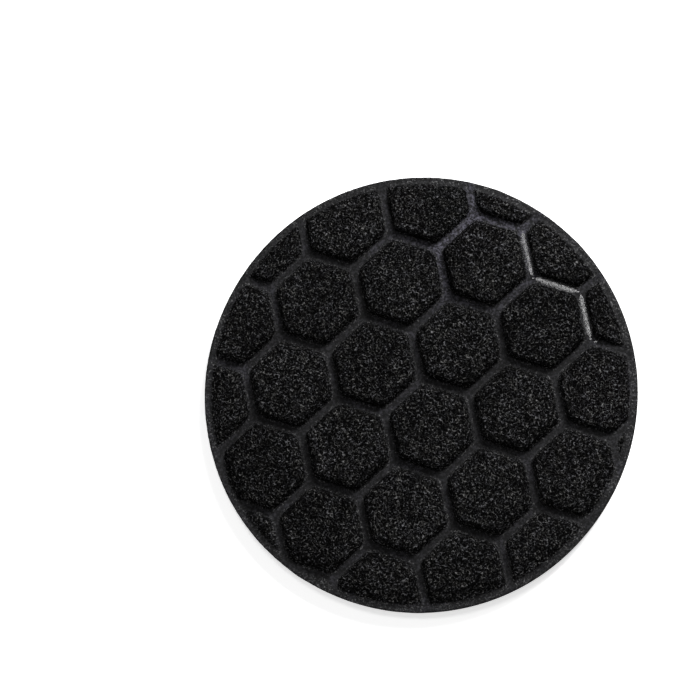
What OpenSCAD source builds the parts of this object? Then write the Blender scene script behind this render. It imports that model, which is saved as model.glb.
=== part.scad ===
// Round two-sided foam polishing pad.
// Two foam layers are laminated with a hot-melt film, hot-pressed and die-cut.
// The pad lies on its plain back. Z = 0 is the plain back face, +Z is the
// embossed working face, and X runs along a row of hexagons.

/* [Pad] */
// Outer diameter over the heat-sealed edge
pad_d = 114; // [100:1:127]
// Whole thickness, from the plain back to the tops of the hexagons
pad_t = 10; // [8:0.5:16]
// Height of the plain back above the pressed rim
back_rise = 2.8; // [1:0.1:5]
// Thickness of the pressed rim, both layers together
rim_t = 2.2; // [1:0.1:4]

/* [Embossed face] */
// Distance between the centres of neighbouring hexagons
hex_pitch = 22.6; // [16:0.1:28]
// Width of the pressed groove between two hexagons
groove_w = 1.9; // [1:0.1:4]
// Depth of the grooves below the tops of the hexagons
groove_depth = 2.8; // [1:0.1:4]
// Width of the bevelled shoulder around each hexagon
shoulder_w = 1.1; // [0.5:0.1:2]
// Depth of the bevelled shoulder around each hexagon
shoulder_depth = 1.3; // [0.5:0.1:2]
// Place of the middle hexagon along its row, measured from the pad's axis
hex_shift_x = 1.6; // [-11:0.1:11]
// Place of the middle hexagon across its row, measured from the pad's axis
hex_shift_y = -9.7; // [-11:0.1:11]

/* [Rim] */
// Width of the embossed face's sloping border
border_w = 3.1; // [2:0.1:6]
// Width of the flat pressed rim around the plain back
back_rim_w = 3.2; // [2:0.1:6]
// Radius of the rounded edge of the plain back
back_edge_r = 0.9; // [0.3:0.1:2]
// How far the heat-sealed bead stands out from the cut edge
bead_out = 0.4; // [0.2:0.05:1]
// Height of the heat-sealed bead
bead_h = 1.4; // [0.8:0.1:2]

/* [Bond] */
// Thickness of the hot-melt film between the foam layers
film_t = 0.3; // [0.1:0.05:0.5]

/* [View] */
// Sub-part to draw

/* [Hidden] */

foam_black = [0.06, 0.06, 0.065];
back_grey = [0.11, 0.11, 0.112];
film_grey = [0.2, 0.19, 0.18];
bead_grey = [0.16, 0.15, 0.145];

pad_r = pad_d / 2;
cut_r = pad_r - bead_out;
rim_bottom = back_rise;
rim_top = back_rise + rim_t;
film_bottom = back_rise + (rim_t - film_t) / 2;
film_top = film_bottom + film_t;
film_mid = film_bottom + film_t / 2;
groove_floor = pad_t - groove_depth;
hex_flat_r = (hex_pitch - groove_w) / 2;
hex_corner_r = hex_flat_r / cos(30);
hex_top_corner_r = (hex_flat_r - shoulder_w) / cos(30);
row_step = hex_pitch * sin(60);
rows_each_way = ceil((pad_r + hex_pitch) / row_step);
cells_each_way = ceil((pad_r + hex_pitch) / hex_pitch);
round_fn = 180;
arc_steps = 6;

// Centres of the hexagons that touch the face inside its sloping border.
hex_centres = [
    for (row = [-rows_each_way : rows_each_way])
        for (cell = [-cells_each_way : cells_each_way])
            let (
                x = hex_shift_x + (cell + (row % 2 == 0 ? 0 : 0.5)) * hex_pitch,
                y = hex_shift_y + row * row_step
            )
            if (norm([x, y]) < pad_r - border_w + hex_flat_r) [x, y]
];

// Outline of the embossed layer from its axis to the rim: the flat top rounds
// over and slopes down to the thin pressed rim.
module face_envelope() {
    slope_top_r = pad_r - border_w;
    round_r = 1.2;
    rotate_extrude($fn = round_fn)
        polygon(concat(
            [[0, film_top], [cut_r, film_top], [cut_r, rim_top], [cut_r - 0.5, rim_top]],
            [for (i = [0 : arc_steps])
                let (a = 35 + 55 * i / arc_steps)
                [slope_top_r - round_r * (1 - cos(a)), pad_t - round_r * (1 - sin(a))]],
            [[0, pad_t]]
        ));
}

// One hexagon with bevelled shoulders, standing on the groove floor.
module hexagon() {
    wall_h = groove_depth - shoulder_depth;
    rotate([0, 0, 30]) {
        cylinder(h = wall_h, r = hex_corner_r, $fn = 6);
        translate([0, 0, wall_h])
            cylinder(h = shoulder_depth, r1 = hex_corner_r, r2 = hex_top_corner_r, $fn = 6);
    }
}

module face_foam() {
    color(foam_black)
        intersection() {
            face_envelope();
            union() {
                cylinder(h = groove_floor, r = pad_r, $fn = round_fn);
                for (centre = hex_centres)
                    translate([centre[0], centre[1], groove_floor])
                        hexagon();
            }
        }
}

module bond_film() {
    color(film_grey)
        translate([0, 0, film_bottom])
            cylinder(h = film_t, r = cut_r, $fn = round_fn);
}

module back_foam() {
    plateau_r = pad_r - back_rim_w;
    color(back_grey)
        rotate_extrude($fn = round_fn)
            polygon(concat(
                [[0, film_bottom], [0, 0]],
                [for (i = [0 : arc_steps])
                    let (a = 90 * i / arc_steps)
                    [plateau_r - back_edge_r * (1 - sin(a)), back_edge_r * (1 - cos(a))]],
                [[plateau_r + 0.2, rim_bottom], [cut_r, rim_bottom], [cut_r, film_bottom]]
            ));
}

module edge_bead() {
    bulge_r = (bead_h * bead_h / 4 + bead_out * bead_out) / (2 * bead_out);
    color(bead_grey)
        rotate_extrude($fn = round_fn)
            intersection() {
                translate([pad_r - bulge_r, film_mid])
                    circle(r = bulge_r, $fn = 48);
                translate([cut_r, film_mid - bead_h / 2])
                    square([bead_out, bead_h]);
            }
}

face_foam();
bond_film();
back_foam();
edge_bead();
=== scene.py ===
"""Round two-sided foam polishing pad: embossed coarse face, plain fine back and sealed rim."""

import logging
import math
from dataclasses import dataclass, field
from enum import Enum

import bpy
import numpy as np
from mathutils import Matrix, Vector


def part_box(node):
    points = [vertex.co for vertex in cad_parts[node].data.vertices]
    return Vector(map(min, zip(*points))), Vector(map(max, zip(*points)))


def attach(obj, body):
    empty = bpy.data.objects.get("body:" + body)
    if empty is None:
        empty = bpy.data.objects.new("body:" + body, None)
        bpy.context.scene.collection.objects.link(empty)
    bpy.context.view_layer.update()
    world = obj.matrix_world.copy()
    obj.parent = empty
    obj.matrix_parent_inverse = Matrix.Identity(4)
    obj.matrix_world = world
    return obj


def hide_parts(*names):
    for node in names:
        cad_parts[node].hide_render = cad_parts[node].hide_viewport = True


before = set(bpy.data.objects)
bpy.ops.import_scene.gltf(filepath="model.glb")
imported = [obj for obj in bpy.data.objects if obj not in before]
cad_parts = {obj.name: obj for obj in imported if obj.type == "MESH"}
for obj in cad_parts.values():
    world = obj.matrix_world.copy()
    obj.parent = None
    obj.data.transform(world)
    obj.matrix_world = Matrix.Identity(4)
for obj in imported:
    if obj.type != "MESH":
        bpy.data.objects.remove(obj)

MM = 0.001
BODY = "root"
CUT_WANDER = 0.08  # how far the die-cut edge strays from a circle, in millimetres
LOG = logging.getLogger("polishing_pad")


class Side(Enum):
    """The way a foam layer looks, as the sign of its outward normal along Z."""

    UP = 1
    DOWN = -1


class Area(Enum):
    """The kinds of surface on a hot-pressed foam layer."""

    OPEN = "open"
    PRESSED = "pressed"
    GLAZED = "glazed"


# ---------------------------------------------------------------- helpers


def deselect_all() -> None:
    """Leave object mode's selection empty, so an operator acts on one piece."""
    bpy.ops.object.select_all(action="DESELECT")


def activate(piece: bpy.types.Object) -> None:
    """Select one object and make it the active one.

    Args:
        piece: the object that the next operator acts on.
    """
    deselect_all()
    piece.select_set(True)
    bpy.context.view_layer.objects.active = piece


def points_of(piece: bpy.types.Object) -> np.ndarray:
    """Read the vertices of a mesh.

    Args:
        piece: a mesh object at the origin.

    Returns:
        One row of x, y, z in metres for each vertex.
    """
    flat = np.empty(len(piece.data.vertices) * 3)
    piece.data.vertices.foreach_get("co", flat)
    return flat.reshape(-1, 3)


def move_points(piece: bpy.types.Object, points: np.ndarray) -> None:
    """Write the vertices of a mesh.

    Args:
        piece: a mesh object at the origin.
        points: one row of x, y, z in metres for each vertex.
    """
    piece.data.vertices.foreach_set("co", np.ascontiguousarray(points).ravel())
    piece.data.update()


def mark(piece: bpy.types.Object, name: str, values: np.ndarray) -> None:
    """Store a number at each vertex.

    Args:
        piece: a mesh object.
        name: the mark's name.
        values: one number for each vertex.
    """
    layer = piece.data.attributes.new(name, "FLOAT", "POINT")
    layer.data.foreach_set("value", values.astype(np.float32))


def marks_of(piece: bpy.types.Object, name: str) -> np.ndarray:
    """Read the number that each vertex carries.

    Args:
        piece: a mesh object.
        name: the mark's name.

    Returns:
        One number for each vertex.
    """
    values = np.empty(len(piece.data.vertices))
    piece.data.attributes[name].data.foreach_get("value", values)
    return values


def smooth_step(low: float, high: float, value: np.ndarray) -> np.ndarray:
    """Ease from 0 at low to 1 at high.

    Args:
        low: the value where the step begins.
        high: the value where the step ends.
        value: the values to ease.

    Returns:
        The eased values, from 0 to 1.
    """
    t = np.clip((value - low) / (high - low), 0.0, 1.0)
    return t * t * (3.0 - 2.0 * t)


def waves(angle: np.ndarray, seed: int, lowest: int, highest: int) -> np.ndarray:
    """Sum a few seeded harmonics round a circle.

    Args:
        angle: angles in radians.
        seed: picks the phases.
        lowest: the fewest waves round the circle.
        highest: the most waves round the circle.

    Returns:
        A wandering value of about -1 to 1 for each angle.
    """
    phases = np.random.default_rng(seed).uniform(0.0, 2.0 * math.pi, highest + 1)
    total = np.zeros_like(angle)
    weight = 0.0
    for count in range(lowest, highest + 1):
        share = (lowest / count) ** 0.7
        total += share * np.sin(count * angle + phases[count])
        weight += share * share
    return total / (1.6 * math.sqrt(weight))


def cut_wander(angle: np.ndarray) -> np.ndarray:
    """Give how far out the die-cut edge lies from a true circle, in millimetres."""
    return CUT_WANDER * waves(angle, seed=3, lowest=2, highest=9)


# ---------------------------------------------------------------- sizes


@dataclass(frozen=True)
class PadSizes:
    """Main sizes of the pad, in millimetres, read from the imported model."""

    outer_r: float
    top_z: float
    film_low: float
    film_high: float
    rim_t: float = 2.2

    @classmethod
    def from_frame(cls) -> "PadSizes":
        """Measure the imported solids."""
        _, bead_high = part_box("edge_bead")
        film_low, film_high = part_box("bond_film")
        _, face_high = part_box("face_foam")
        return cls(
            outer_r=bead_high[0] / MM,
            top_z=face_high[2] / MM,
            film_low=film_low[2] / MM,
            film_high=film_high[2] / MM,
        )

    @property
    def film_mid(self) -> float:
        """Height of the middle of the hot-melt film."""
        return (self.film_low + self.film_high) / 2

    @property
    def rim_top(self) -> float:
        """Height of the pressed rim's upper side."""
        return self.film_mid + self.rim_t / 2

    @property
    def rim_bottom(self) -> float:
        """Height of the pressed rim's lower side."""
        return self.film_mid - self.rim_t / 2


@dataclass(frozen=True)
class HexEmboss:
    """The hexagon pattern hot-pressed into the working face, in millimetres."""

    pitch: float = 22.6
    floor_w: float = 1.85
    wall_w: float = 1.7
    depth: float = 2.8
    crown: float = 0.5
    shift_x: float = 1.6
    shift_y: float = -9.7
    corner_power: float = 18.0
    shoulder_power: float = 2.4
    skin_reach: float = 0.05

    def side_distance(self, x: np.ndarray, y: np.ndarray) -> tuple:
        """Measure how far each point lies inside its own hexagon.

        Args:
            x: places along the rows.
            y: places across the rows.

        Returns:
            The distance to the middle of the nearest groove, that groove's direction as a
            count of sixths of a turn, and how much nearer it is than the next groove.
        """
        row_step = self.pitch * math.sin(math.pi / 3)
        row_place = (y - self.shift_y) / row_step
        best = None
        way = None
        lead = None
        for row in (np.floor(row_place), np.floor(row_place) + 1):
            offset = np.where(np.mod(row, 2) == 0, 0.0, 0.5)
            cell = np.round((x - self.shift_x) / self.pitch - offset) + offset
            dx = x - self.shift_x - cell * self.pitch
            dy = y - self.shift_y - row * row_step
            turns = [side * math.pi / 3 for side in range(3)]
            reaches = np.abs([dx * math.cos(turn) + dy * math.sin(turn) for turn in turns])
            reach = (reaches**self.corner_power).sum(axis=0) ** (1.0 / self.corner_power)
            ranked = np.sort(reaches, axis=0)
            facing = reaches.argmax(axis=0)
            ahead = ranked[2] - ranked[1]
            if best is None:
                best, way, lead = reach, facing, ahead
            else:
                nearer = reach < best
                way = np.where(nearer, facing, way)
                lead = np.where(nearer, ahead, lead)
                best = np.minimum(best, reach)
        return self.pitch / 2 - best, way, lead

    def drop(self, distance: np.ndarray) -> np.ndarray:
        """Give the depth of the pressed face below its highest point.

        Args:
            distance: the distance to the middle of the nearest groove.

        Returns:
            The depth, from 0 at a hexagon's middle.
        """
        inside = np.clip(distance - self.floor_w / 2, 0.0, None)
        rise = np.clip(inside / self.wall_w, 0.0, 1.0)
        wall = self.depth * (1.0 - rise) ** self.shoulder_power
        share = np.clip(1.0 - 2.0 * inside / (self.pitch - self.floor_w), 0.0, 1.0)
        return wall + self.crown * share * share


# ---------------------------------------------------------------- materials


class NodePad:
    """A small builder for one material's node tree."""

    def __init__(self, name: str) -> None:
        """Start an empty material.

        Args:
            name: the material's name.
        """
        self.material = bpy.data.materials.new(name)
        self.material.use_nodes = True
        self.tree = self.material.node_tree
        self.tree.nodes.clear()
        self.output = self.add("ShaderNodeOutputMaterial")
        self.shader = self.add("ShaderNodeBsdfPrincipled")
        self.link(self.shader.outputs["BSDF"], self.output.inputs["Surface"])

    def add(self, kind: str, **values: object) -> bpy.types.Node:
        """Add a node.

        Args:
            kind: the node's type name.
            **values: properties to set on it.

        Returns:
            The new node.
        """
        node = self.tree.nodes.new(kind)
        for key, value in values.items():
            setattr(node, key, value)
        return node

    def link(self, start: bpy.types.NodeSocket, end: bpy.types.NodeSocket) -> None:
        """Join an output socket to an input socket."""
        self.tree.links.new(start, end)

    def feed(self, socket: bpy.types.NodeSocket, value: object) -> None:
        """Give an input a link or a constant.

        Args:
            socket: the input.
            value: an output socket, a number or a colour.
        """
        if isinstance(value, bpy.types.NodeSocket):
            self.link(value, socket)
        else:
            socket.default_value = value

    def millimetres(self, turn: float = 0.0, shift: float = 0.0) -> bpy.types.NodeSocket:
        """Give object coordinates in millimetres.

        Args:
            turn: a turn about Z in radians, to set two patterns apart.
            shift: an offset in millimetres along every axis.

        Returns:
            The vector socket.
        """
        place = self.add("ShaderNodeTexCoord")
        mapping = self.add("ShaderNodeMapping")
        mapping.inputs["Scale"].default_value = (1 / MM, 1 / MM, 1 / MM)
        mapping.inputs["Rotation"].default_value = (0.0, 0.0, turn)
        mapping.inputs["Location"].default_value = (shift, shift, shift)
        self.link(place.outputs["Object"], mapping.inputs["Vector"])
        return mapping.outputs["Vector"]

    def noise(
        self, vector: bpy.types.NodeSocket, scale: float, detail: float = 2.0, rough: float = 0.5
    ) -> bpy.types.Node:
        """Add a 3-D noise.

        Args:
            vector: the coordinates.
            scale: waves per millimetre.
            detail: octaves.
            rough: weight of the finer octaves.

        Returns:
            The Noise Texture node.
        """
        node = self.add("ShaderNodeTexNoise")
        self.link(vector, node.inputs["Vector"])
        node.inputs["Scale"].default_value = scale
        node.inputs["Detail"].default_value = detail
        node.inputs["Roughness"].default_value = rough
        return node

    def voronoi(self, vector: bpy.types.NodeSocket, scale: float, feature: str) -> bpy.types.Node:
        """Add a 3-D cell pattern.

        Args:
            vector: the coordinates.
            scale: cells per millimetre.
            feature: which measure of the cells to give.

        Returns:
            The Voronoi Texture node.
        """
        node = self.add("ShaderNodeTexVoronoi", feature=feature)
        self.link(vector, node.inputs["Vector"])
        node.inputs["Scale"].default_value = scale
        return node

    def math(self, kind: str, a: object, b: object = 0.0, c: object = 0.0) -> bpy.types.NodeSocket:
        """Add a Math node.

        Args:
            kind: the operation.
            a: the first value.
            b: the second value.
            c: the third value.

        Returns:
            The result socket.
        """
        node = self.add("ShaderNodeMath", operation=kind)
        for socket, value in zip(node.inputs, (a, b, c)):
            self.feed(socket, value)
        return node.outputs[0]

    def ease(
        self, value: object, low: float, high: float, start: float = 0.0, end: float = 1.0
    ) -> bpy.types.NodeSocket:
        """Map a value smoothly from one range to another.

        Args:
            value: the value socket.
            low: where the change begins.
            high: where the change ends.
            start: the result at low.
            end: the result at high.

        Returns:
            The result socket.
        """
        node = self.add("ShaderNodeMapRange", interpolation_type="SMOOTHSTEP")
        self.feed(node.inputs["Value"], value)
        limits = {"From Min": low, "From Max": high, "To Min": start, "To Max": end}
        for name, number in limits.items():
            self.feed(node.inputs[name], number)
        return node.outputs["Result"]

    def blend(self, share: object, a: object, b: object) -> bpy.types.NodeSocket:
        """Mix two colours.

        Args:
            share: 0 for the first colour, 1 for the second.
            a: the first colour.
            b: the second colour.

        Returns:
            The colour socket.
        """
        node = self.add("ShaderNodeMix", data_type="RGBA")
        self.feed(node.inputs[0], share)
        self.feed(node.inputs[6], a)
        self.feed(node.inputs[7], b)
        return node.outputs[2]

    def attribute(self, name: str) -> bpy.types.NodeSocket:
        """Read a number that the mesh carries at its vertices."""
        node = self.add("ShaderNodeAttribute", attribute_name=name)
        return node.outputs["Fac"]

    def raise_by(self, height: bpy.types.NodeSocket, reach: float, strength: float = 1.0) -> None:
        """Bump the surface.

        Args:
            height: the height, from 0 to 1.
            reach: what a height of 1 stands for, in millimetres.
            strength: how much of the bump is used.
        """
        bump = self.add("ShaderNodeBump")
        bump.inputs["Strength"].default_value = strength
        bump.inputs["Distance"].default_value = reach * MM
        self.link(height, bump.inputs["Height"])
        self.link(bump.outputs["Normal"], self.shader.inputs["Normal"])


@dataclass(frozen=True)
class FoamGrain:
    """How fine the foam's patterns are.

    All are in waves or cells for each foam cell, apart from warp_reach, which is in
    cells, and the wide ones, which are in waves per millimetre.
    """

    warp: float = 0.9
    warp_reach: float = 0.7
    small_cells: float = 1.7
    glints: float = 1.9
    breaks: float = 1.6
    dust: float = 3.2
    mottle: float = 0.9
    speck: float = 1.5
    wide_cloud: float = 0.07
    wide_tone: float = 0.5
    wide_patch: float = 0.11


@dataclass(frozen=True)
class FoamPattern:
    """The sockets that a foam finish is mixed from, each of about 0 to 1."""

    place: bpy.types.NodeSocket
    net: bpy.types.NodeSocket
    bright: bpy.types.NodeSocket
    dust: bpy.types.NodeSocket
    mottle: bpy.types.NodeSocket
    press: bpy.types.NodeSocket
    pressed: bpy.types.NodeSocket
    left_over: bpy.types.NodeSocket


@dataclass(frozen=True)
class FoamFinish:
    """Open-cell foam whose pressed parts have a smooth, denser skin. Its colour paints shade in
    the pores and glints on the strands.

    cell and relief are in millimetres, and strand_width is a share of a cell.
    """

    name: str
    cell: float
    glint_strand_colour: tuple
    pore_shade_colour: tuple
    skin_colour: tuple
    skin_sheen_colour: tuple
    skin_rough: float
    polished_rough: float
    strand_rough: float
    relief: float
    strand_width: float
    open_specular: float
    skin_specular: float
    glaze_specular: float
    border_cells: float
    pore_rough: float = 0.95
    thin_share: float = 0.25
    fray: float = 0.6
    # How much the painted sheen lightens and tints the skin, at its spot and in random patches.
    sheen_gain: float = 7.0
    patch_sheen: float = 0.14
    grain: FoamGrain = FoamGrain()

    def draw_cells(self, pad: NodePad, place: bpy.types.NodeSocket) -> tuple:
        """Draw the net of strands between the cells.

        Args:
            pad: the material's builder.
            place: coordinates in millimetres.

        Returns:
            The net's height, and its brightness with painted glints.
        """
        wander = pad.noise(place, self.grain.warp / self.cell, detail=1.0)
        bend = pad.add("ShaderNodeVectorMath", operation="MULTIPLY_ADD")
        pad.link(wander.outputs["Color"], bend.inputs[0])
        bend.inputs[1].default_value = (self.cell * self.grain.warp_reach,) * 3
        pad.link(place, bend.inputs[2])
        warped = bend.outputs["Vector"]

        turned = pad.millimetres(turn=1.3, shift=17.0)
        cells = pad.voronoi(warped, 1 / self.cell, "DISTANCE_TO_EDGE")
        small = pad.voronoi(turned, self.grain.small_cells / self.cell, "DISTANCE_TO_EDGE")
        broken = pad.noise(place, self.grain.breaks / self.cell, detail=2.0)
        strand = pad.ease(cells.outputs["Distance"], 0.02, self.strand_width, start=1.0, end=0.0)
        thin_width = self.strand_width * 0.8
        thin = pad.ease(small.outputs["Distance"], 0.01, thin_width, start=1.0, end=0.0)
        whole = pad.ease(broken.outputs["Fac"], low=0.42, high=0.6)
        net = pad.math(
            "MAXIMUM",
            pad.math("MULTIPLY", strand, whole),
            pad.math("MULTIPLY", thin, self.thin_share),
        )
        # Painted glints: a random brightness for each strand cell, standing in for the light that
        # strands catch.
        glints = pad.voronoi(warped, self.grain.glints / self.cell, "F1")
        split = pad.add("ShaderNodeSeparateColor")
        pad.link(glints.outputs["Color"], split.inputs["Color"])
        glint = pad.ease(split.outputs[0], low=0.3, high=1.0, start=0.1, end=1.0)
        return net, pad.math("MULTIPLY", net, glint)

    def draw_pattern(self, pad: NodePad) -> FoamPattern:
        """Draw the cells, the fine grain and the frayed line between foam and skin.

        Args:
            pad: the material's builder.

        Returns:
            The patterns.
        """
        place = pad.millimetres(turn=0.4)
        net, bright = self.draw_cells(pad, place)
        dust = pad.noise(place, self.grain.dust / self.cell, detail=3.0, rough=0.65).outputs["Fac"]
        mottle = pad.noise(place, self.grain.mottle / self.cell, detail=3.0).outputs["Fac"]
        uneven = pad.math("SUBTRACT", pad.math("ADD", dust, mottle), 1.0)
        press = pad.attribute("pressed")
        frayed = pad.math("ADD", press, pad.math("MULTIPLY", uneven, self.fray))
        return FoamPattern(
            place=place,
            net=net,
            bright=bright,
            dust=dust,
            mottle=mottle,
            press=press,
            pressed=pad.ease(frayed, low=0.42, high=0.58),
            left_over=pad.ease(press, low=0.8, high=1.0, start=self.border_cells, end=0.0),
        )

    def colour_foam(self, pad: NodePad, pattern: FoamPattern) -> bpy.types.NodeSocket:
        """Mix the colour of the open foam: painted shade in the pores and painted glints on the
        strands, a little worn in wide patches.

        Args:
            pad: the material's builder.
            pattern: the foam's patterns.

        Returns:
            The colour socket.
        """
        cloud = pad.noise(pattern.place, self.grain.wide_cloud, detail=3.0)
        wear = pad.ease(cloud.outputs["Fac"], low=0.3, high=0.7, start=0.75, end=1.15)
        tone = pad.noise(pad.millimetres(shift=40.0), self.grain.wide_tone, detail=3.0)
        red, green, blue = self.glint_strand_colour
        cool = (red * 0.98, green * 0.985, blue * 1.035, 1)
        warm = (red * 1.02, green * 1.01, blue * 0.975, 1)
        strands = pad.blend(pad.ease(tone.outputs["Fac"], low=0.38, high=0.62), cool, warm)
        # Pores take the foam's dark colour deepened with painted shade, strands a lighter colour
        # with painted glints.
        share = pad.math("MULTIPLY", pattern.bright, wear)
        return pad.blend(share, (*self.pore_shade_colour, 1), strands)

    def colour_skin(self, pad: NodePad, pattern: FoamPattern) -> bpy.types.NodeSocket:
        """Mix the colour of the pressed skin, speckled, with a painted sheen that lightens it in
        places.

        Args:
            pad: the material's builder.
            pattern: the foam's patterns.

        Returns:
            The colour socket.
        """
        speck = pad.noise(
            pad.millimetres(shift=23.0), self.grain.speck / self.cell, detail=2.0, rough=0.6
        )
        grain = pad.math(
            "ADD",
            pad.ease(speck.outputs["Fac"], low=0.42, high=0.62),
            pad.ease(pattern.dust, low=0.36, high=0.68, start=0.0, end=0.25),
        )
        patchy = pad.ease(pattern.mottle, low=0.2, high=0.7, start=0.3, end=0.9)
        at_border = pad.ease(pattern.press, low=0.8, high=1.0, start=0.7, end=1.0)
        share = pad.math("MULTIPLY", pad.math("MULTIPLY", patchy, grain), at_border)

        # Painted sheen: the groove skin is lightened and tinted lavender near one spot and in wide
        # random patches, standing in for a soft sheen of light.
        patch = pad.noise(pad.millimetres(shift=61.0), self.grain.wide_patch, detail=2.0)
        painted_sheen = pad.math(
            "MAXIMUM",
            pad.attribute("sheen_spot"),
            pad.ease(patch.outputs["Fac"], low=0.5, high=0.7, start=0.0, end=self.patch_sheen),
        )
        red, green, blue = (level * self.sheen_gain for level in self.skin_sheen_colour)
        sheen_spot = (red, green * 0.98, blue * 1.12, 1)
        sheen = pad.blend(painted_sheen, (*self.skin_sheen_colour, 1), sheen_spot)
        smooth = pad.blend(share, (*self.skin_colour, 1), sheen)
        # Leftover strands on the border skin, with painted glints.
        strands = pad.math("MULTIPLY", pattern.bright, pattern.left_over)
        return pad.blend(strands, smooth, (*self.glint_strand_colour, 1))

    def set_roughness(self, pad: NodePad, pattern: FoamPattern, area: Area) -> None:
        """Set the shader's roughness and specular level.

        Args:
            pad: the material's builder.
            pattern: the foam's patterns.
            area: the kind of surface.
        """
        foam = pad.ease(
            pattern.bright, low=0.0, high=0.6, start=self.pore_rough, end=self.strand_rough
        )
        base = self.polished_rough if area is Area.GLAZED else self.skin_rough
        skin = pad.ease(pattern.dust, low=0.3, high=0.7, start=base - 0.06, end=base + 0.1)
        mix = pad.add("ShaderNodeMix", data_type="FLOAT")
        for socket, value in ((0, pattern.pressed), (2, foam), (3, skin)):
            pad.link(value, mix.inputs[socket])
        pad.link(mix.outputs[0], pad.shader.inputs["Roughness"])
        specular = {
            Area.OPEN: self.open_specular,
            Area.PRESSED: self.skin_specular,
            Area.GLAZED: self.glaze_specular,
        }
        pad.shader.inputs["Specular IOR Level"].default_value = specular[area]

    def set_bump(self, pad: NodePad, pattern: FoamPattern) -> None:
        """Give the strands and the grain their height.

        Args:
            pad: the material's builder.
            pattern: the foam's patterns.
        """
        kept = pad.math(
            "MAXIMUM",
            pad.ease(pattern.pressed, low=0.0, high=1.0, start=1.0, end=0.05),
            pad.math("MULTIPLY", pattern.left_over, 0.6),
        )
        fine = pad.ease(pattern.pressed, low=0.0, high=1.0, start=0.25, end=0.1)
        height = pad.math(
            "ADD",
            pad.math("MULTIPLY", pattern.net, kept),
            pad.math("MULTIPLY", pattern.dust, fine),
        )
        pad.raise_by(height, self.relief)

    def make(self, area: Area) -> bpy.types.Material:
        """Build the material for one area of a layer.

        Args:
            area: open foam, pressed skin or glazed skin, which differ in their sheen.

        Returns:
            The finished material.
        """
        pad = NodePad(f"{self.name}_{area.value}")
        pattern = self.draw_pattern(pad)
        colour = pad.blend(
            pattern.pressed, self.colour_foam(pad, pattern), self.colour_skin(pad, pattern)
        )
        pad.link(colour, pad.shader.inputs["Base Color"])
        self.set_roughness(pad, pattern, area)
        self.set_bump(pad, pattern)
        return pad.material


@dataclass(frozen=True)
class MeltFinish:
    """Hot-melt film or melted foam: smooth, a little waxy, with faint flow marks.

    flow and grain are in waves per millimetre, and relief is in millimetres.
    """

    name: str
    dark_colour: tuple
    pale_colour: tuple
    rough: float
    flow: float = 0.5
    grain: float = 4.0
    relief: float = 0.08
    specular: float = 0.25

    def make(self) -> bpy.types.Material:
        """Build the material.

        Returns:
            The finished material.
        """
        pad = NodePad(self.name)
        place = pad.millimetres()
        flow = pad.noise(place, self.flow, detail=4.0, rough=0.6).outputs["Fac"]
        grain = pad.noise(place, self.grain, detail=3.0, rough=0.6).outputs["Fac"]
        share = pad.math("MULTIPLY", pad.ease(flow, low=0.3, high=0.7), grain)
        colour = pad.blend(share, (*self.dark_colour, 1), (*self.pale_colour, 1))
        pad.link(colour, pad.shader.inputs["Base Color"])
        rough = pad.ease(grain, low=0.3, high=0.7, start=self.rough - 0.08, end=self.rough + 0.12)
        pad.link(rough, pad.shader.inputs["Roughness"])
        pad.raise_by(grain, self.relief, strength=0.6)
        pad.shader.inputs["Specular IOR Level"].default_value = self.specular
        return pad.material


# The strand colours are the foam's own colour lightened with painted glints, and the pore colours
# are near black with painted shade.
COARSE_FOAM = FoamFinish(
    name="coarse_black_foam",
    cell=0.9,
    glint_strand_colour=(0.155, 0.155, 0.157),
    pore_shade_colour=(0.0005, 0.0005, 0.0005),
    skin_colour=(0.0011, 0.0011, 0.0012),
    skin_sheen_colour=(0.0198, 0.0195, 0.022),
    skin_rough=0.75,
    polished_rough=0.23,
    strand_rough=0.5,
    relief=0.3,
    strand_width=0.125,
    open_specular=0.015,
    skin_specular=0.2,
    glaze_specular=0.8,
    border_cells=0.8,
)
FINE_FOAM = FoamFinish(
    name="fine_grey_foam",
    cell=0.42,
    glint_strand_colour=(0.345, 0.34, 0.343),
    pore_shade_colour=(0.0015, 0.0015, 0.0015),
    skin_colour=(0.008, 0.0078, 0.008),
    skin_sheen_colour=(0.056, 0.055, 0.057),
    skin_rough=0.7,
    polished_rough=0.7,
    strand_rough=0.5,
    relief=0.12,
    strand_width=0.155,
    open_specular=0.06,
    skin_specular=0.2,
    glaze_specular=0.2,
    border_cells=0.6,
)
FILM = MeltFinish("hot_melt_film", (0.03, 0.028, 0.027), (0.07, 0.066, 0.062), 0.45)
SEALED_EDGE = MeltFinish("sealed_edge", (0.014, 0.011, 0.0095), (0.075, 0.06, 0.052), 0.5)


# ---------------------------------------------------------------- pieces


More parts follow.
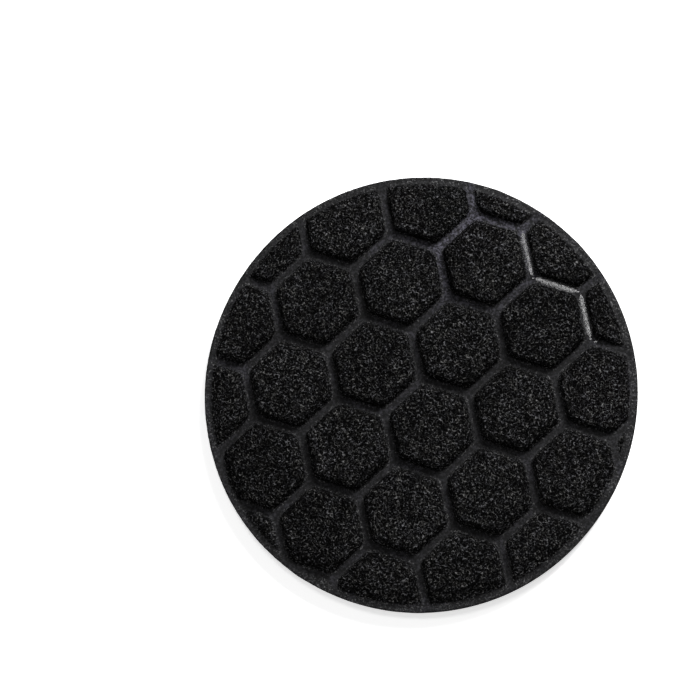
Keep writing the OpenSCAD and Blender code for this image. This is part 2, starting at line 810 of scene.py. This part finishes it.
@dataclass
class FoamLayer:
    """One foam layer of the pad: a padded disc with a pressed rim.

    Its outer side is a height over the film, and its inner side lies on the film.
    under_rings are the inner side's rings of points, each as a share of the ring before.
    cell_size and cell_push are shares of the finish's own cell and relief.
    """

    sizes: PadSizes
    side: Side
    divisions: int
    finish: FoamFinish
    node: str
    slot: str
    fill: float
    under_rings: tuple = (1.0, 0.97, 0.5)
    push_steps: int = 10
    cell_size: float = 1.15
    cell_contrast: float = 1.4
    cell_push: float = 1.3
    cell_level: float = 0.4
    piece: bpy.types.Object = field(default=None, init=False)

    def surface(self, x: np.ndarray, y: np.ndarray, r: np.ndarray, edge: np.ndarray) -> tuple:
        """Give the outer side's height and how hard it is pressed.

        Args:
            x: places along X, in millimetres.
            y: places along Y, in millimetres.
            r: distances from the axis, in millimetres.
            edge: the outline's radius at each place, in millimetres.

        Returns:
            Heights in millimetres, and the pressed share from 0 to 1.
        """
        raise NotImplementedError

    def polish(self, x: np.ndarray, y: np.ndarray) -> np.ndarray:
        """Give how shiny the hot press left the skin, from 0 to 1."""
        return np.zeros_like(x)

    def painted_sheen(self, x: np.ndarray, y: np.ndarray) -> np.ndarray:
        """Give the share of painted sheen on the skin, from 0 to 1."""
        return np.zeros_like(x)

    def film_z(self) -> float:
        """Height of the film's face that this layer lies on, in millimetres."""
        return self.sizes.film_high if self.side is Side.UP else self.sizes.film_low

    def build(self) -> bpy.types.Object:
        """Model the layer.

        Returns:
            The finished piece.
        """
        deselect_all()
        bpy.ops.mesh.primitive_grid_add(
            x_subdivisions=self.divisions, y_subdivisions=self.divisions, size=2.0
        )
        self.piece = bpy.context.object
        self.piece.name = self.node + "_soft"
        self.round_off()
        self.close_under()
        self.roughen()
        activate(self.piece)
        bpy.ops.object.shade_smooth()
        return self.piece

    def round_off(self) -> None:
        """Turn the square grid into a disc, raise it to the surface and mark it."""
        points = points_of(self.piece)
        a, b = points[:, 0], points[:, 1]
        wide = np.abs(a) > np.abs(b)
        ring = np.where(wide, a, b)
        ratio = np.divide(np.where(wide, b, a), np.where(ring == 0, 1.0, ring))
        turn = np.where(wide, math.pi / 4 * ratio, math.pi / 2 - math.pi / 4 * ratio)
        unit_x, unit_y = ring * np.cos(turn), ring * np.sin(turn)
        edge = self.sizes.outer_r + cut_wander(np.arctan2(unit_y, unit_x))
        x, y = unit_x * edge, unit_y * edge
        z, pressed = self.surface(x, y, np.abs(ring) * edge, edge)
        move_points(self.piece, np.column_stack((x, y, z)) * MM)
        mark(self.piece, "pressed", pressed)
        mark(self.piece, "polished", self.polish(x, y))
        # Share of painted sheen on the groove skin.
        mark(self.piece, "sheen_spot", self.painted_sheen(x, y))

    def close_under(self) -> None:
        """Extrude the cut edge to the film and close the layer's inner side."""
        activate(self.piece)
        bpy.ops.object.mode_set(mode="EDIT")
        bpy.ops.mesh.select_all(action="DESELECT")
        bpy.ops.mesh.select_mode(type="EDGE")
        bpy.ops.mesh.select_non_manifold()
        film_z = self.film_z() * MM
        for share in self.under_rings:
            bpy.ops.mesh.extrude_region_move()
            bpy.ops.object.mode_set(mode="OBJECT")
            points = points_of(self.piece)
            picked = np.empty(len(self.piece.data.vertices), dtype=bool)
            self.piece.data.vertices.foreach_get("select", picked)
            points[picked, :2] *= share
            points[picked, 2] = film_z
            move_points(self.piece, points)
            bpy.ops.object.mode_set(mode="EDIT")
        bpy.ops.mesh.merge(type="CENTER")
        bpy.ops.mesh.select_all(action="SELECT")
        bpy.ops.mesh.normals_make_consistent(inside=False)
        bpy.ops.object.mode_set(mode="OBJECT")

    def roughen(self) -> None:
        """Push the open foam in and out by its own cells."""
        above_film = points_of(self.piece)[:, 2] / MM - self.film_z()
        on_film = np.abs(above_film) < 0.01
        weight = np.where(on_film, 0.0, 1.0 - marks_of(self.piece, "pressed"))
        group = self.piece.vertex_groups.new(name="open_foam")
        for step in range(1, self.push_steps + 1):
            low, high = (step - 0.5) / self.push_steps, (step + 0.5) / self.push_steps
            chosen = np.flatnonzero((weight >= low) & (weight < high))
            if len(chosen):
                group.add([int(i) for i in chosen], step / self.push_steps, "REPLACE")
        texture = bpy.data.textures.new(self.node + "_cells", "VORONOI")
        texture.noise_scale = self.finish.cell * self.cell_size * MM
        texture.noise_intensity = self.cell_contrast
        push = self.piece.modifiers.new("cells", "DISPLACE")
        push.texture = texture
        push.texture_coords = "LOCAL"
        push.vertex_group = group.name
        push.mid_level = self.cell_level
        push.strength = -self.finish.relief * self.cell_push * MM
        activate(self.piece)
        bpy.ops.object.modifier_apply(modifier=push.name)
        self.piece.vertex_groups.clear()

    def sort_faces(self) -> None:
        """Give the pressed faces the skin's finish, and the glazed ones the glaze."""
        mesh = self.piece.data
        first = np.empty(len(mesh.polygons), dtype=int)
        mesh.polygons.foreach_get("loop_start", first)
        corner = np.empty(len(mesh.loops), dtype=int)
        mesh.loops.foreach_get("vertex_index", corner)
        ends = (corner[first], corner[first + 2])
        pressed = marks_of(self.piece, "pressed")
        polished = marks_of(self.piece, "polished")
        skin = pressed[ends[0]] + pressed[ends[1]] > 1.0
        glazed = polished[ends[0]] + polished[ends[1]] > 1.0
        chosen = skin.astype(np.int32) + (skin & glazed).astype(np.int32)
        mesh.polygons.foreach_set("material_index", chosen)
        mesh.update()

    def place(self) -> None:
        """Dress the layer and hang it on the pad's body."""
        self.piece.data.materials.clear()
        for area in Area:
            self.piece.data.materials.append(self.finish.make(area))
        self.sort_faces()
        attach(self.piece, BODY)
        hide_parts(self.node)


@dataclass(frozen=True)
class HotPatch:
    """A round part of the face, in millimetres, where the press ran hotter and glazed the skin, or
    where a sheen is painted on it.
    """

    x: float
    y: float
    reach: float

    def away(self, x: np.ndarray, y: np.ndarray) -> np.ndarray:
        """Give how far each place lies from the middle, as a share of the reach."""
        return np.hypot(x - self.x, y - self.y) / self.reach


@dataclass
class FaceLayer(FoamLayer):
    """The coarse working layer with its hot-pressed hexagons.

    From the die-cut edge inwards it has a flat lip, then a slope that rises to the
    face. dome is how far the face falls off towards the border, and flatten is the share
    of the pattern's depth that is lost there. Lengths are in millimetres.
    """

    emboss: HexEmboss = HexEmboss()
    border_w: float = 4.6
    border_power: float = 1.8
    lip_w: float = 1.1
    lip_round: float = 0.35
    lip_drop: float = 0.25
    skin_w: float = 0.9
    blend_w: float = 1.2
    border_press: float = 0.8
    dome: float = 2.3
    dome_power: float = 4.5
    flatten: float = 0.45
    flatten_power: float = 6.0
    glazed: HotPatch = HotPatch(43.0, 20.0, reach=18.0)
    glaze_spread: float = 0.6
    glaze_corner: float = 0.3
    glaze_point: float = 1.5
    dull_way: int = 2
    # Where the painted sheen on the grooves is strongest.
    sheen_spot: HotPatch = HotPatch(22.0, 37.0, reach=28.0)
    sheen_power: float = 1.5

    def painted_sheen(self, x: np.ndarray, y: np.ndarray) -> np.ndarray:
        """Paint a sheen on the grooves, stronger towards one spot near the glazed grooves.

        Args:
            x: places along X, in millimetres.
            y: places along Y, in millimetres.

        Returns:
            The share of painted sheen at each place, from 0 to 1.
        """
        distance, _, _ = self.emboss.side_distance(x, y)
        groove = 1.0 - smooth_step(0.0, 1.0, distance - self.emboss.floor_w / 2)
        near = np.clip(1.0 - self.sheen_spot.away(x, y), 0.0, 1.0)
        return groove * near**self.sheen_power

    def polish(self, x: np.ndarray, y: np.ndarray) -> np.ndarray:
        """Glaze the groove floors near one side, apart from those that run one way.

        Args:
            x: places along X, in millimetres.
            y: places along Y, in millimetres.

        Returns:
            1 for a glazed place, otherwise 0.
        """
        distance, way, lead = self.emboss.side_distance(x, y)
        on_floor = distance < self.emboss.floor_w / 2 + self.glaze_spread
        pointed = lead > self.glaze_corner + self.glaze_point * distance
        near = self.glazed.away(x, y) < 1.0
        return np.where(on_floor & pointed & near & (way != self.dull_way), 1.0, 0.0)

    def surface(self, x: np.ndarray, y: np.ndarray, r: np.ndarray, edge: np.ndarray) -> tuple:
        """Press hexagons into a slightly domed face that slopes down to the rim.

        Args:
            x: places along X, in millimetres.
            y: places along Y, in millimetres.
            r: distances from the axis, in millimetres.
            edge: the outline's radius at each place, in millimetres.

        Returns:
            Heights in millimetres, and the pressed share from 0 to 1.
        """
        distance, _, _ = self.emboss.side_distance(x, y)
        drop = self.emboss.drop(distance)
        flat = self.flatten * (r / edge) ** self.flatten_power
        drop += np.clip(self.emboss.depth - drop, 0.0, None) * flat
        raised = self.sizes.top_z - drop - self.dome * (r / edge) ** self.dome_power
        inward = edge - r
        slope = np.clip((inward - self.lip_w) / self.border_w, 0.0, 1.0)
        lift = 1.0 - (1.0 - slope) ** self.border_power
        z = self.sizes.rim_top + (raised - self.sizes.rim_top) * lift
        z -= self.lip_drop * (1.0 - smooth_step(0.0, self.lip_round, inward))
        foot = self.emboss.floor_w / 2 + self.emboss.skin_reach
        groove = 0.5 + (foot - distance) / self.blend_w
        border = 0.5 + (self.lip_w + self.skin_w - inward) / (3.0 * self.blend_w)
        return z, np.clip(np.maximum(groove, np.minimum(border, self.border_press)), 0.0, 1.0)


@dataclass
class BackLayer(FoamLayer):
    """The finer back layer: a plain plateau inside a flat pressed rim.

    The rim rolls up at its edge and has a crease at the wall's foot. Lengths are in
    millimetres.
    """

    rim_w: float = 3.2
    wall_w: float = 1.2
    wall_lead: float = 0.3
    wall_power: float = 2.6
    clearance: float = 0.14
    crease: float = 0.45
    crease_w: float = 0.35
    roll: float = 0.5
    skin_out: float = 0.4
    skin_in: float = 0.9

    def surface(self, x: np.ndarray, y: np.ndarray, r: np.ndarray, edge: np.ndarray) -> tuple:
        """Raise a plain plateau above the pressed rim.

        Args:
            x: places along X, in millimetres.
            y: places along Y, in millimetres.
            r: distances from the axis, in millimetres.
            edge: the outline's radius at each place, in millimetres.

        Returns:
            Heights in millimetres, and the pressed share from 0 to 1.
        """
        inward = edge - r
        past_foot = inward - self.rim_w + self.wall_lead
        slope = np.clip(past_foot / self.wall_w, 0.0, 1.0)
        lift = 1.0 - (1.0 - slope) ** self.wall_power
        z = self.clearance + (self.sizes.rim_bottom - self.clearance) * (1.0 - lift)
        z += self.crease * np.exp(-((past_foot / self.crease_w) ** 2))
        z += self.roll * np.clip(1.0 - inward / self.rim_w, 0.0, 1.0) ** 2
        low, high = self.rim_w - self.skin_out, self.rim_w + self.skin_in
        return z, 1.0 - smooth_step(low, high, inward)


@dataclass
class EdgeBead:
    """The bead of melted foam and film round the die-cut edge.

    Lengths are in millimetres, and swell is a share of the bead's own thickness.
    """

    sizes: PadSizes
    height: float = 1.4
    half_w: float = 0.55
    swell: float = 0.22
    ripple: float = 0.06
    around: int = 720
    section: int = 14
    finish: MeltFinish = SEALED_EDGE
    piece: bpy.types.Object = field(default=None, init=False)

    def build(self) -> bpy.types.Object:
        """Model the bead as a ring that wanders a little in width and height.

        Returns:
            The finished piece.
        """
        deselect_all()
        ring_r = self.sizes.outer_r - self.half_w
        bpy.ops.mesh.primitive_torus_add(
            major_segments=self.around,
            minor_segments=self.section,
            major_radius=ring_r * MM,
            minor_radius=self.half_w * MM,
        )
        self.piece = bpy.context.object
        self.piece.name = "edge_bead_melted"
        points = points_of(self.piece) / MM
        angle = np.arctan2(points[:, 1], points[:, 0])
        r = np.hypot(points[:, 0], points[:, 1])
        swell = 1.0 + self.swell * waves(angle, seed=11, lowest=9, highest=60)
        out = (r - ring_r) * swell + ring_r + cut_wander(angle)
        tall = self.height / (2 * self.half_w)
        ripple = self.ripple * waves(angle, seed=5, lowest=4, highest=30)
        up = points[:, 2] * tall * swell + ripple
        x, y = out * np.cos(angle), out * np.sin(angle)
        move_points(self.piece, np.column_stack((x, y, up + self.sizes.film_mid)) * MM)
        bpy.ops.object.shade_smooth()
        return self.piece

    def place(self) -> None:
        """Dress the bead and hang it on the pad's body."""
        self.piece.data.materials.append(self.finish.make())
        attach(self.piece, BODY)
        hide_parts("edge_bead")


@dataclass
class BondFilm:
    """The hot-melt film between the layers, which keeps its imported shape."""

    finish: MeltFinish = FILM

    def place(self) -> None:
        """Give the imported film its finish."""
        film = bpy.data.objects["bond_film"]
        film.data.materials.clear()
        film.data.materials.append(self.finish.make())


# ---------------------------------------------------------------- studio


@dataclass(frozen=True)
class Lamp:
    """One soft square lamp that faces the pad.

    turn is its direction in the view, in degrees up from the right, and height its
    elevation in degrees. away and size are in metres.
    """

    name: str
    turn: float
    height: float
    away: float
    size: float
    watts: float


LAMPS = (
    Lamp("key", turn=57, height=38, away=1.3, size=0.45, watts=27.0),
    Lamp("fill", turn=-100, height=14, away=1.6, size=0.6, watts=7.0),
    Lamp("overhead", turn=81, height=76.4, away=1.6, size=0.26, watts=4.9),
)


@dataclass
class Studio:
    """Camera, pale floor and soft lights.

    pad_reach is the pad's radius in the view, and pad_right and pad_down say how far its
    centre lies from the middle, all as shares of the view's width. distance, pad_radius
    and floor_side are in metres, and film_width in millimetres.
    """

    azimuth: float = math.radians(-46.5)
    elevation: float = math.radians(80.0)
    row_turn: float = math.radians(12.06)
    distance: float = 1.14
    pad_radius: float = 0.057
    pad_reach: float = 0.31214
    pad_right: float = 0.09957
    pad_down: float = 0.06329
    film_width: float = 36.0
    floor_side: float = 6.0
    floor_glow: float = 0.6
    room_light: float = 0.14

    def view_axes(self) -> tuple:
        """Work out the camera's right, up and backward directions at the pad."""
        back = Vector((
            math.cos(self.elevation) * math.cos(self.azimuth),
            math.cos(self.elevation) * math.sin(self.azimuth),
            math.sin(self.elevation),
        ))
        up_hint = Vector((math.sin(self.row_turn), math.cos(self.row_turn), 0.0))
        right = up_hint.cross(back).normalized()
        return right, back.cross(right).normalized(), back

    def add_camera(self, target: Vector) -> None:
        """Place the camera so that the pad sits right of and below the middle.

        Args:
            target: the pad's centre, in metres.
        """
        right, up, back = self.view_axes()
        zoom = self.pad_reach * self.distance / self.pad_radius
        data = bpy.data.cameras.new("camera")
        data.lens = zoom * self.film_width
        data.sensor_width = self.film_width
        data.clip_start = 0.01
        camera = bpy.data.objects.new("camera", data)
        bpy.context.scene.collection.objects.link(camera)
        location = target + back * self.distance
        view_w = self.distance / zoom
        aim = target - right * (self.pad_right * view_w) + up * (self.pad_down * view_w)
        backward = (location - aim).normalized()
        side = up.cross(backward).normalized()
        top = backward.cross(side)
        turn = Matrix((side, top, backward)).transposed()
        camera.matrix_world = Matrix.Translation(location) @ turn.to_4x4()
        bpy.context.scene.camera = camera

    def add_floor(self) -> None:
        """Lay a plain pale floor, lit from below like a light table, under the pad."""
        deselect_all()
        bpy.ops.mesh.primitive_plane_add(size=self.floor_side)
        floor = bpy.context.object
        floor.name = "floor"
        pad = NodePad("pale_floor")
        speck = pad.noise(pad.millimetres(), 0.02, detail=2.0)
        tint = pad.blend(speck.outputs["Fac"], (0.93, 0.93, 0.93, 1), (0.95, 0.95, 0.95, 1))
        pad.link(tint, pad.shader.inputs["Base Color"])
        pad.shader.inputs["Roughness"].default_value = 0.9
        pad.shader.inputs["Specular IOR Level"].default_value = 0.0
        pad.shader.inputs["Emission Color"].default_value = (1, 1, 1, 1)
        pad.shader.inputs["Emission Strength"].default_value = self.floor_glow
        floor.data.materials.append(pad.material)
        floor.visible_diffuse = False
        floor.visible_glossy = False

    def add_light(self, lamp: Lamp) -> None:
        """Hang one lamp.

        Args:
            lamp: where it hangs, its size and its power.
        """
        right, up, _ = self.view_axes()
        flat_right = Vector((right.x, right.y, 0.0)).normalized()
        flat_up = Vector((up.x, up.y, 0.0)).normalized()
        turn = math.radians(lamp.turn)
        lift = math.radians(lamp.height)
        turned = flat_right * math.cos(turn) + flat_up * math.sin(turn)
        direction = turned * math.cos(lift) + Vector((0, 0, math.sin(lift)))
        data = bpy.data.lights.new(lamp.name, "AREA")
        data.shape = "SQUARE"
        data.size = lamp.size
        data.energy = lamp.watts
        light = bpy.data.objects.new(lamp.name, data)
        bpy.context.scene.collection.objects.link(light)
        light.location = direction * lamp.away
        light.rotation_euler = (-direction).to_track_quat("-Z", "Y").to_euler()

    def light_up(self) -> None:
        """Set the room's own light and hang the lamps."""
        world = bpy.data.worlds.new("studio")
        world.use_nodes = True
        room = world.node_tree.nodes["Background"]
        room.inputs["Color"].default_value = (1, 1, 1, 1)
        room.inputs["Strength"].default_value = self.room_light
        bpy.context.scene.world = world
        for lamp in LAMPS:
            self.add_light(lamp)
        bpy.context.scene.view_settings.view_transform = "Standard"
        bpy.context.scene.view_settings.look = "None"


def main() -> None:
    """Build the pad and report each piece."""
    logging.basicConfig(level=logging.INFO, format="%(message)s")
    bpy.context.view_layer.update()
    sizes = PadSizes.from_frame()
    studio = Studio()
    studio.add_camera(Vector((0.0, 0.0, sizes.film_mid * MM)))
    studio.add_floor()
    studio.light_up()

    face = FaceLayer(
        sizes=sizes,
        side=Side.UP,
        divisions=292,
        finish=COARSE_FOAM,
        node="face_foam",
        slot="coarse_foam",
        fill=0.8,
    )
    back = BackLayer(
        sizes=sizes,
        side=Side.DOWN,
        divisions=220,
        finish=FINE_FOAM,
        node="back_foam",
        slot="fine_foam",
        fill=0.9,
    )
    for part in (face, back, EdgeBead(sizes)):
        piece = part.build()
        part.place()
        LOG.info("%s: %d faces", piece.name, len(piece.data.polygons))
    BondFilm().place()


if __name__ == "__main__":
    main()
